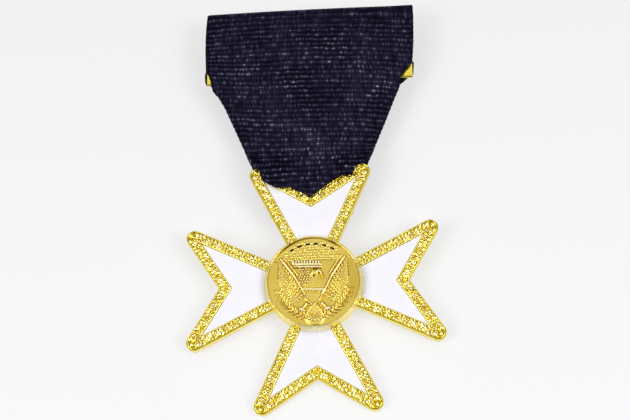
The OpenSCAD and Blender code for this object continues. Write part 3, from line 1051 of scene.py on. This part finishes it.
def make_medallion():
    """The relief field, and round it the rim, the side, the underside and the rivet post. The tint
    follows how far each point stands over its surroundings: what stands out is paler, partly by
    wear and partly as painted highlight, and hollows are darker, partly patina and partly painted
    shade.
    The groove under the rim gets painted shade in two places near the top, the rim a painted
    highlight in three places, and the field painted shade at its right."""
    p = disc_grid(MEDAL_GRID) * FIELD_R
    r = np.linalg.norm(p, axis=-1)
    raised = medal_height(p) * smooth((FIELD_R - 0.05 - r) / 0.2)
    hollow = HOLLOW_RISE * np.clip((r - HOLLOW_R) / (FIELD_R - HOLLOW_R), 0, 1) ** 2
    z = FIELD_EDGE_Z + FIELD_RISE * (1 - (r / FIELD_R) ** 2) + hollow + raised
    top = with_height(p, z)
    edge = np.concatenate([top[0], top[1:, -1], top[-1, ::-1][1:], top[::-1, 0][1:-1]])
    angle = np.arctan2(edge[:, 1], edge[:, 0])
    edge_z = FIELD_EDGE_Z + HOLLOW_RISE
    wall = [(FIELD_R, edge_z), (7.666, edge_z + 0.003), (7.68, edge_z + 0.02),
            (RIM_IN, RIM_Z - 0.07)]
    rim = [(RIM_IN, RIM_Z - 0.07), (7.73, RIM_Z - 0.02), (7.76, RIM_Z), (7.8, RIM_Z - 0.01),
           (7.84, RIM_Z - 0.06), (8.05, RIM_Z - 0.47), (8.28, RIM_Z - 0.92), (8.34, RIM_Z - 1.07),
           (MEDAL_R, RIM_Z - 1.17), (8.33, 2.05), (8.2, 1.92), (8.0, MEDAL_LOW),
           (POST_R, MEDAL_LOW), (POST_R, POST_LOW), (0.0, POST_LOW)]
    wall_ring, rim_ring = revolved(wall, angle), revolved(rim, angle)
    wall_ring[0, :, 2] = edge[:, 2]
    # Raised parts paler, partly wear and partly painted highlight; hollows darker, partly patina
    # and partly painted shade
    relief = np.clip(0.48 + 0.6 * raised + 1.2 * (raised - softened(raised, 5)), 0, 1)
    from_top = np.degrees(np.arctan2(p[..., 0], p[..., 1]))
    # Painted shade in the groove under the rim, at two places near the top
    groove_shade = sum(hump((from_top - at) / spread) for at, spread in GROOVE_SHADE)
    relief -= relief * np.clip(groove_shade, 0, 1) * smooth((r - FIELD_R + 0.32) / 0.1)
    # Painted shade on the right of the field
    relief -= 0.08 * smooth((p[..., 0] - 5.7) / 0.5) * smooth((4.2 - np.abs(p[..., 1])) / 1.5)
    # The rim gets a painted highlight at three places
    painted_shine = sum(hump((np.degrees(angle) % 360 - at) / RIM_SHINE_SPREAD) for at in RIM_SHINE_AT)
    rim_relief = 0.8 + 0.2 * painted_shine * np.ones((len(rim), 1))
    # The wall between field and rim gets a low tint, 0.14: painted shade
    medal = skin("medal", [top, (wall_ring,), (rim_ring,)], gilt_satin, crease=60,
                 attributes={"relief": [relief, 0.14, rim_relief]})
    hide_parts("medallion")


make_medallion()

# %% [markdown]
# ## The ribbon
# Grosgrain is a stiff ribbed ribbon: thick weft cords run across and fine warp threads cover them.
# The strip is hemmed behind the plate, goes over its top, down the front, round the bail and up
# behind. On the taper its sides are folded back. A cloth simulation would only soften the crisp
# pressed folds of such a drape, so the folds are written down: a row of points goes across the
# whole cut width, and wherever it passes an edge of the front it turns behind in a half circle and
# runs back along the mirror image of its rib.

# %% The course of the ribbon seen from the side
THICK = 0.6
RIB_PITCH = 0.965
RIB_HEIGHT = 0.1
RIBBON_TOP = 54.5
PLATE_T = 0.8
LAYER_GAP = 0.1
CUT_LEFT, CUT_RIGHT = -18.65, 20.15
HEM_LEN = 6.5
TAIL_TOP = 27.0
FRONT_MID = -RIBBON_GAP - THICK / 2
HEM_MID = -RIBBON_GAP - 2 * CLOTH_T - PLATE_T - 2 * LAYER_GAP + THICK / 2
BACK_MID = BAR_Z - (BAR_D / 2 + BAR_PLAY) - CLOTH_T + THICK / 2
FOLD_R = (FRONT_MID - HEM_MID) / 2
FOLD_Y = RIBBON_TOP - FOLD_R - THICK / 2
SAG_FROM = 20.5
SAG = 0.5


def course():
    """The middle line as arc length, y, z and the lengths at which the front begins and ends: up
    the hem, half round the plate's top, down the front with a slow sag under the upper arm, half
    round the bail and up the tail."""
    a = np.linspace(0, np.pi, 40)[1:]
    out, over = np.sin(a), 1 - np.cos(a)
    hem = np.stack([np.linspace(FOLD_Y - HEM_LEN, FOLD_Y, 30), np.full(30, HEM_MID)], axis=-1)
    top = np.stack([FOLD_Y + FOLD_R * out, HEM_MID + FOLD_R * over], axis=-1)
    y = np.linspace(FOLD_Y, BAR_Y, 200)[1:]
    dip = SAG * np.clip((SAG_FROM - y) / (SAG_FROM - BAR_Y), 0, 1) ** 2
    front = np.stack([y, FRONT_MID - dip], axis=-1)
    bend_r = (front[-1, 1] - BACK_MID) / 2
    under = np.stack([BAR_Y - bend_r * out, front[-1, 1] - bend_r * over], axis=-1)
    rise = np.linspace(BAR_Y, TAIL_TOP, 50)[1:]
    tail_run = np.stack([rise, np.full_like(rise, BACK_MID)], axis=-1)
    line = np.concatenate([hem, top, front, under, tail_run])
    length = running_length(line)
    begin = len(hem) + len(top) - 1
    return length, line[:, 0], line[:, 1], length[begin], length[begin + len(front)]


# %% [markdown]
# The outline of the front is two edges that lean inwards. A fold along a leaning edge mirrors the
# cloth in that edge, so the rib of the side flap climbs by twice the lean. The breadth of a flap is
# what is left of the cut width beside the front, and it fades to nothing at both ends of the taper.

# %% The ribbon as one folded sheet
# For each height over the cross's centre, how far left and right of it the front reaches
EDGES = [(BAR_Y, 6.1, 6.1), (22.5, 10.3, 10.4), (30.5, 13.45, 14.0), (35.2, 15.35, 16.0),
         (37.4, 16.5, 17.02), (38.6, 17.5, 17.14), (39.5, 17.5, 17.2), (41.5, 18.05, 19.1),
         (42.1, 18.5, 19.55), (46.0, 18.57, 20.0), (49.0, 18.53, 20.2), (51.0, 18.42, 20.32),
         (53.6, 18.17, 20.38), (RIBBON_TOP, 17.75, 20.2)]
EDGE_Y, EDGE_LEFT, EDGE_RIGHT = np.array(EDGES).T * [[1], [-1], [1]]
FLAP_TOP = 39.65
FLAP_LOW = 15.5
FOLD_TURN_R = 0.42
LEFT_DEPTH = 1.5
FOLD_SKIN = THICK / 2 + 0.08
TAIL_INSET = 1.3
LEFT_PULL, RIGHT_PULL = 8.5, 6.0
ROWS, FRONT_COLS, TURN_COLS, FLAP_COLS = 590, 40, 8, 9


def from_edges(x, y):
    """How far a point of the front is from the left edge and from the right one."""
    return x - np.interp(y, EDGE_Y, EDGE_LEFT), np.interp(y, EDGE_Y, EDGE_RIGHT) - x


def side_of_ribbon(edge, cut, sign, y, z, on_front, on_tail):
    """The columns beyond one edge: a half circle of small radius behind the edge, then the flap.
    The tail is drawn in, so that it hides behind the front."""
    level = np.linspace(BAR_Y, RIBBON_TOP, 800)
    slope = np.gradient(np.interp(level, EDGE_Y, edge), level)
    slope = np.convolve(np.pad(slope, 20, mode="edge"), np.ones(41) / 41, mode="valid")
    lean = np.interp(y, level, np.arctan(np.abs(slope)))
    x = np.interp(y, EDGE_Y, edge)
    fade = smooth((FLAP_TOP - y) / 1.6) * smooth((y - FLAP_LOW) / 5.0) * on_front
    turned_in = smooth(fade * 3)[:, None]
    angle = np.linspace(0, np.pi, TURN_COLS)[None, :] * turned_in
    depth = FOLD_TURN_R * (1.0 if sign > 0 else LEFT_DEPTH)
    inset = FOLD_TURN_R * turned_in
    x = x - sign * (FOLD_SKIN * turned_in[:, 0] + TAIL_INSET * on_tail * smooth((y - BAR_Y) / 3.0))
    turn = np.stack([x[:, None] - sign * inset * (1 - np.sin(angle)), y[:, None] + 0 * angle,
                     z[:, None] - depth * (1 - np.cos(angle))], axis=-1)
    spare = np.clip(np.abs(cut - x) - math.pi * FOLD_TURN_R, 0, None) * fade
    d = spare[:, None] * np.linspace(0, 1, FLAP_COLS + 1)[None, 1:]
    flap = turn[:, -1:] + np.stack([-sign * d * np.cos(2 * lean)[:, None],
                                    d * np.sin(2 * lean)[:, None], 0 * d], axis=-1)
    return x - sign * inset[:, 0], np.concatenate([turn, flap], axis=1)


def rib_bend(x, y):
    """How far the ribs of the front are pulled along the strip: they fall to the right and sag at
    both sides, run level again at the top fold and near the cross, and on the taper they turn up
    towards the left edge and down towards the right one."""
    from_left, from_right = from_edges(x, y)
    pull_left = (1 - np.clip(from_left, 0, LEFT_PULL) / LEFT_PULL) ** 1.5
    pull_right = (1 - np.clip(from_right, 0, RIGHT_PULL) / RIGHT_PULL) ** 1.5
    turned_up = pull_left - 0.3 * pull_right
    turned_up *= smooth((48.0 - y) / 6.0) * smooth((y - 24.0) / 5.0)
    fall = (-0.03 * x - 0.0023 * x**2) * smooth((54.0 - y) / 4.0) * smooth((y - 21.0) / 6.0)
    return fall + turned_up


def gleam(from_edge, from_top):
    """How much painted highlight the cords get: less, as painted shade, along the pressed edges,
    under the top fold and towards the cross."""
    below_fold = 0.62 + 0.38 * smooth((from_top - 0.8) / 2.8)
    near_cross = 1 - 0.24 * smooth((from_top - 20.0) / 12.0)
    return (0.35 + 0.65 * smooth((from_edge - 0.2) / 1.0)) * below_fold * near_cross


def ribbon_sheet():
    """Middle surface in ROWS rows of equal length along the course, from the left cut edge to the
    right one. Besides the points: how far along and across the flat strip each lies, and its gleam.
    Last, the top rows are bent up a little, as the fold is not quite straight."""
    length, course_y, course_z, front_begin, front_end = course()
    s = np.linspace(0, length[-1], ROWS)
    y, z = np.interp(s, length, course_y), np.interp(s, length, course_z)
    on_front = (s > front_begin) & (s < front_end)
    on_tail = s > front_end + 1.0
    left_x, left = side_of_ribbon(EDGE_LEFT, CUT_LEFT, -1, y, z, on_front, on_tail)
    right_x, right = side_of_ribbon(EDGE_RIGHT, CUT_RIGHT, 1, y, z, on_front, on_tail)
    t = np.linspace(0, 1, FRONT_COLS)[None, 1:-1]
    front_x = left_x[:, None] + (right_x - left_x)[:, None] * t
    front = np.stack([front_x, y[:, None] + 0 * t, z[:, None] + 0 * t], axis=-1)
    mid = np.concatenate([left[:, ::-1], front, right], axis=1)
    steps = np.linalg.norm(np.diff(mid, axis=1), axis=-1)
    across = np.concatenate([np.zeros((ROWS, 1)), np.cumsum(steps, axis=1)], axis=1)
    across -= across[:, [mid.shape[1] // 2]] - mid[:, [mid.shape[1] // 2], 0]
    along = s[:, None] + rib_bend(mid[..., 0], mid[..., 1]) * on_front[:, None]
    from_edge = np.minimum(*from_edges(mid[..., 0], mid[..., 1]))
    shine = gleam(from_edge, s[:, None] - front_begin)
    rise = np.maximum(0.24 * (1 - ((mid[..., 0] + 4.0) / 20.0) ** 2), 0.01)
    mid[..., 1] += rise * smooth((mid[..., 1] - 50.0) / 4.0)
    return mid, s, along, across, shine


# %% [markdown]
# Two places need a little more cloth. Towards the upper arm the ribbon billows forward and laps
# over the arm's border between the two tips, nearly to the enamel on the left. And at both lower
# corners of the plate a tuck of the cloth peeps out beside and below it. Each is a small sheet
# between two edges that begins inside the ribbon or behind the plate, with the same ribs.

# %% The lap over the upper arm and the tucks at the plate
# The lap's lower edge from left to right, and its sides at each share of the way up to LAP_TOP
LAP_X = [-8.1, -5.7, -5.0, -4.2, -3.4, 0.0, 4.4, 6.2, 7.0, 7.3]
LAP_Y = [18.85, 17.5, 17.75, 17.92, 17.68, 15.58, 18.75, 19.5, 19.4, 18.95]
LAP_T = [0.0, 0.08, 0.28, 0.36, 0.45, 0.6, 0.8, 1.0]
LAP_LEFT = [-8.1, -8.4, -8.8, -9.4, -9.95, -10.6, -11.1, -11.6]
LAP_RIGHT = [7.3, 7.45, 7.95, 9.0, 10.1, 10.85, 11.4, 11.9]
LAP_TOP = 26.0
LAP_Z = CROSS_T + THICK / 2 + 0.1
LAP_FROM_TOP = 18.0

# For each tuck some heights, how far right its edge is at each, and where it begins
TUCKS = [([38.5, 40.0, 40.4, 42.8], [17.15, 18.85, 19.7, 19.95], 16.0),
         ([40.2, 40.7, 42.0, 44.5], [-18.5, -18.85, -18.95, -18.5], -16.0)]
TUCK_Z = -2.2
# The tucks get little painted highlight: painted shade behind the plate
TUCK_GLEAM = 0.3

# How far the ribs' ends stand out, and how much higher a point looks for each mm nearer the camera
SELVAGE_LOOP = 0.12
VIEW_SLOPE = 0.37


def lap_sheet(rows=90, cols=120):
    """From the ribbon's front at LAP_TOP slowly up to the border of the upper arm and over it to
    the edge given by LAP_X and LAP_Y. Its sides spread beyond the tips of the arm until they meet
    the ribbon's edges. Gives the points and their gleam."""
    x_low = np.linspace(LAP_X[0], LAP_X[-1], cols)
    y_low = np.interp(x_low, LAP_X, LAP_Y)
    border_out = BORDER_W / notch_out[1] + NOTCH_REACH + np.abs(x_low) * notch_run[1] / notch_run[0]
    t = np.linspace(1, 0, rows)[:, None]
    y = y_low + (LAP_TOP - y_low) * t
    left, right = np.interp(t, LAP_T, LAP_LEFT), np.interp(t, LAP_T, LAP_RIGHT)
    share = (x_low - LAP_X[0]) / (LAP_X[-1] - LAP_X[0])
    x = left + (right - left) * share
    down = smooth((y - border_out - 0.35) / (LAP_TOP - border_out - 0.35))
    z = LAP_Z + (FRONT_MID - 0.05 - LAP_Z) * down
    from_side = np.minimum(x - left, right - x) + 3.0 * t
    shine = gleam(np.minimum(y - y_low + 0.5, from_side), LAP_FROM_TOP)
    return np.stack([x, y, z], axis=-1), shine


def tuck_sheet(edge_y, edge_x, inner_x, rows=40, cols=12):
    """A piece of cloth behind the plate's corner between inner_x and a bent edge, almost without
    painted highlight: painted shade behind the plate."""
    y = np.linspace(edge_y[-1], edge_y[0], rows)[:, None]
    x = inner_x + (np.interp(y, edge_y, edge_x) - inner_x) * np.linspace(0, 1, cols)
    if edge_x[0] < inner_x:
        x = x[:, ::-1]
    return np.stack([x, y + 0 * x, TUCK_Z + 0 * x], axis=-1), TUCK_GLEAM + 0 * x


def rib_at(s):
    """The height of the ribs at length s along the strip: 0.4 on top of one, -0.6 in a gap."""
    return np.abs(np.cos(np.pi * s / RIB_PITCH)) ** 0.8 - 0.6


def thicken(mid, s, lip):
    """Both faces of a sheet, half the thickness off it and more on the ribs, and drawn in where lip
    is under 1. Where columns fall together they have no normal, and take the middle column's."""
    normal = np.cross(np.gradient(mid, axis=1), np.gradient(mid, axis=0))
    size = np.linalg.norm(normal, axis=-1, keepdims=True)
    normal /= np.maximum(size, 1e-12)
    plain = normal[:, [mid.shape[1] // 2]]
    normal = np.where(size > 1e-7, normal, plain)
    half = ((THICK / 2 + RIB_HEIGHT * rib_at(s)) * lip)[..., None]
    return np.concatenate([mid + normal * half, (mid - normal * half)[:, ::-1]], axis=1)


def both_faces(values):
    """One value for each point of the front, and the same for the back in its reversed order."""
    return np.concatenate([values, values[:, ::-1]], axis=1)


def make_ribbon(material):
    """The folded strip, with a small loop at each end of each rib, and the small sheets. Their ribs
    follow the height at which they are seen from the front, so they run on from the strip's."""
    mid, s, along, across, shine = ribbon_sheet()
    selvage = np.zeros(mid.shape[1])
    selvage[[0, -1]] = (-1, 1)
    mid[..., 0] += SELVAGE_LOOP * rib_at(along) * selvage
    lip = np.ones(mid.shape[1])
    lip[[0, -1]], lip[[1, -2]] = 0.35, 0.85
    shells, wefts = [thicken(mid, along, lip)], [both_faces(along)]
    warps, shines = [both_faces(across)], [both_faces(shine)]
    length, course_y, _, front_begin, front_end = course()
    on_front = (length > front_begin) & (length < front_end)
    for sheet, shine in (lap_sheet(), *(tuck_sheet(*tuck) for tuck in TUCKS)):
        seen_y = sheet[..., 1] + VIEW_SLOPE * (sheet[..., 2] - FRONT_MID)
        along = np.interp(seen_y, course_y[on_front][::-1], length[on_front][::-1])
        along += rib_bend(sheet[..., 0], seen_y)
        ends = np.minimum(np.arange(len(sheet))[::-1] / 4, 1)[:, None]
        shells.append(thicken(sheet, along, np.sqrt(ends * 0.9 + 0.1)))
        wefts.append(both_faces(along))
        warps.append(both_faces(sheet[..., 0]))
        shines.append(both_faces(shine))
    caps = [shell[row] for shell in shells for row in (0, -1)]
    ribbon = skin("grosgrain", [(shell,) for shell in shells], material, caps=caps, crease=80,
                  attributes={"weft": wefts, "warp": warps, "gleam": shines})
    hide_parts("ribbon")
    print(f"ribbon: cut {CUT_RIGHT - CUT_LEFT:.1f} by {s[-1]:.1f} mm")


# %% [markdown]
# The cloth is nearly black with a blue cast. What the eye takes for ribs is mostly light and dark,
# and it is painted into the colour: the tops of the cords get painted highlights, thread by thread,
# and the gaps between cords get painted shade and stay black. Every point knows its place along and
# across the flat strip, so the shader can tell which cord and which warp thread it is on. A random
# number for each crossing, another for each short length of cord and slow patches make some threads
# lie prouder and carry painted glints. Each cord starts its count at a place of its own, so that no
# columns run down the cloth.

# %% The ribbon's shader
THREAD = 0.25
DASH = 0.8
THREAD_DEPTH = 0.04 * MM
# Tones from the gaps, painted shade, to the tops of proud threads, painted highlights and glints
CLOTH_TONES = [(0.0, (0.0012, 0.0008, 0.005)), (0.025, (0.0085, 0.0072, 0.021)),
               (0.1, (0.0138, 0.0118, 0.0325)), (0.4, (0.064, 0.061, 0.092)),
               (1.0, (0.38, 0.37, 0.43))]


def ribbon_material():
    """Cloth whose tone follows how proud each thread lies and how much painted highlight it gets,
    with painted shade in the gaps and painted glints, and bumps for the threads.
    """
    material, tree, shader = new_material("navy_black_grosgrain")

    def place(name):
        """What the points carry under a name: weft, warp or gleam."""
        return add_node(tree, "Attribute", attribute_name=name).outputs["Fac"]

    def calc(operation, *values):
        """Arithmetic on sockets or plain numbers."""
        return add_node(tree, "Math", dict(enumerate(values)), operation=operation).outputs[0]

    def chance_at(across, cord):
        """A random number from 0 to 1 for each pair of whole numbers."""
        pair = add_node(tree, "CombineXYZ", {"X": across, "Y": cord})
        chance = add_node(tree, "TexWhiteNoise", {"Vector": pair.outputs[0]}, noise_dimensions="2D")
        return chance.outputs["Value"]

    wander = map_value(tree, noise(tree, 700.0), -0.16, 0.16)
    cords = calc("ADD", calc("DIVIDE", place("weft"), RIB_PITCH), wander)
    cord = calc("ROUND", cords)
    off_top = calc("ABSOLUTE", calc("SUBTRACT", cords, cord))
    gap_light = map_value(tree, noise(tree, 130.0, detail=2.0), 0.02, 0.3, 0.4, 0.7)
    on_top = calc("MAXIMUM", map_value(tree, off_top, 1.0, 0.0, 0.04, 0.27), gap_light)
    stagger = chance_at(cord, cord)
    threads = calc("ADD", calc("DIVIDE", place("warp"), THREAD), stagger)
    thread = calc("FLOOR", threads)
    dash = calc("FLOOR", calc("ADD", calc("DIVIDE", place("warp"), DASH), stagger))
    # Slow patches, scaled by the gleam attribute, vary the painted highlight
    patches = noise(tree, 330.0, detail=5.0, roughness=0.65, stretch=(0.3, 1.0, 1.0))
    patch = calc("MULTIPLY", map_value(tree, patches, 0.5, 1.02, 0.4, 0.65), place("gleam"))
    lit = calc("MULTIPLY", on_top, calc("ADD", calc("MULTIPLY", chance_at(dash, cord), 0.7), 0.3))
    luck = calc("POWER", chance_at(thread, cord), 3.0)
    # A few threads get a strong painted glint
    painted_shine = calc("ADD", calc("MULTIPLY", luck, 0.95), 0.1)
    proud_and_shine = calc("MULTIPLY", calc("MULTIPLY", lit, patch), painted_shine)
    set_inputs(tree, shader, {"Base Color": colour_ramp(tree, proud_and_shine, CLOTH_TONES), "Roughness": 0.6,
                              "Specular IOR Level": map_value(tree, proud_and_shine, 0.04, 0.5, 0.0, 0.8)})

    in_thread = calc("SUBTRACT", threads, thread)
    round_thread = calc("SINE", calc("MULTIPLY", in_thread, math.pi))
    height = calc("ADD", calc("MULTIPLY", round_thread, on_top), calc("MULTIPLY", proud_and_shine, 0.6))
    add_bump(tree, shader, height, THREAD_DEPTH)
    return material


make_ribbon(ribbon_material())

# %% [markdown]
# ## The brooch
# Behind the fold sits a polished plate with a rolled lower edge and a face that falls off to its
# ends like a cushion, and behind that a pin between a hinge and a catch. In the picture only the
# two lower corners of the plate show. A pair of plain boxes would do for those, but the jewel can
# be turned over, so the back is made as well: the barrels are rounded blocks with knuckle grooves,
# and the pin is a turned needle.

# %% The brooch
PLATE_W = 37.95
PLATE_LOW = 39.75
PLATE_TOP = RIBBON_TOP - 1.5 - LAYER_GAP
PLATE_X = 0.6
PLATE_LEAN = math.radians(0.6)
ROLL_R = PLATE_T / 2
BARREL_R = 1.2
BARREL_LEN = 4.0
BARREL_SPAN = 24.0
END_ROUND = 0.2
GROOVE_DEPTH, GROOVE_W = 0.16, 0.09
PIN_Y = 44.0
PIN_D = 0.9
POINT_LEN = 3.0
PLATE_Z = -RIBBON_GAP - CLOTH_T - LAYER_GAP
PIN_Z = (BARREL_R - (PIN_Y + ARM_REACH) * math.sin(TILT)) / math.cos(TILT)


def make_plate():
    """Sections across the plate's height, from end to end. The lower edge is rolled round, and the
    face falls off towards it and towards both ends like a cushion."""
    half = PLATE_W / 2
    end = np.linspace(half - 1.2, half, 16)
    x = np.concatenate([-end[::-1], np.linspace(-half + 1.5, half - 1.5, 40), end])
    a = np.linspace(-np.pi / 2, -3 * np.pi / 2, 14)
    low = np.stack([PLATE_LOW + ROLL_R + ROLL_R * np.cos(a),
                    PLATE_Z - ROLL_R + ROLL_R * np.sin(a)], axis=-1)
    low[:, 1] -= 0.2 * np.linspace(0, 1, 14)
    face_y = np.concatenate([np.linspace(PLATE_LOW + ROLL_R, PLATE_LOW + 1.6, 16)[1:],
                             np.linspace(PLATE_LOW + 1.6, PLATE_TOP, 8)[1:]])
    front = np.stack([face_y, np.full_like(face_y, PLATE_Z)], axis=-1)
    loop = np.concatenate([low, front, [[PLATE_TOP, PLATE_Z - PLATE_T]]])
    sheet = np.empty((len(x), len(loop), 3))
    sheet[..., 0], sheet[..., 1:] = x[:, None], loop
    on_face = (loop[:, 1] > PLATE_Z - 0.01)[None, :]
    from_low = np.clip(1 - (loop[:, 0] - PLATE_LOW) / 2.4, 0, 1)[None, :]
    from_end = np.clip(1 - (half - np.abs(x)) / 1.6, 0, 1)[:, None]
    sheet[..., 2] -= (0.3 * from_low**2 + 0.16 * from_end**2) * on_face
    middle = np.array([0, (PLATE_LOW + PLATE_TOP) / 2, 0])
    sheet = turned(sheet - middle, math.degrees(-PLATE_LEAN)) + middle + [PLATE_X, 0, 0]
    plate = capped("plate", sheet)
    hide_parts("brooch_plate")


def make_barrel(name, x, grooves):
    """A block with a round back that stands on the plate, with grooves cut round it at places in
    mm from its middle."""
    across = np.linspace(-BARREL_LEN / 2, BARREL_LEN / 2, 61)
    r = np.full_like(across, BARREL_R)
    for groove in grooves:
        r -= GROOVE_DEPTH * hump((across - groove) / GROOVE_W)
    r -= END_ROUND * quarter_round((BARREL_LEN / 2 - np.abs(across)) / END_ROUND)
    a = np.linspace(0, -np.pi, 24)
    ring = np.stack([PIN_Y + r[:, None] * np.cos(a), PIN_Z + r[:, None] * np.sin(a)], axis=-1)
    top_z = np.full_like(r, PLATE_Z - PLATE_T + 0.05)
    walls = [np.stack([PIN_Y + side * r, top_z], axis=-1)[:, None] for side in (1, -1)]
    sheet = np.empty((len(r), len(a) + 2, 3))
    sheet[..., 0] = (x + across)[:, None]
    sheet[..., 1:] = np.concatenate([walls[0], ring, walls[1]], axis=1)
    barrel = capped(name, sheet)
    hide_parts("brooch_plate")


def make_pin():
    """A needle: circles round the pin's axis whose radius falls to a point at the right end."""
    reach = BARREL_SPAN / 2 + BARREL_LEN / 2 + 1.0
    t = np.linspace(0, 1, 60)
    x = PLATE_X - reach + 2 * reach * t
    taper = np.clip((reach * 2 * (1 - t)) / POINT_LEN, 0, 1)
    blunt = np.clip(t * 2 * reach / 0.3 + 0.05, 0, 1)
    r = PIN_D / 2 * (0.08 + 0.92 * np.sqrt(taper)) * np.sqrt(blunt)
    a = full_turn(24)
    sheet = np.stack([x[:, None] + 0 * a, PIN_Y + r[:, None] * np.cos(a),
                      PIN_Z + r[:, None] * np.sin(a)], axis=-1)
    pin = capped("pin", sheet)
    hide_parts("pin_stem")


make_plate()
make_barrel("hinge", PLATE_X - BARREL_SPAN / 2, (-0.7, 0.7))
make_barrel("catch", PLATE_X + BARREL_SPAN / 2, (-1.2, -1.0, 0.0, 1.0, 1.2))
make_pin()
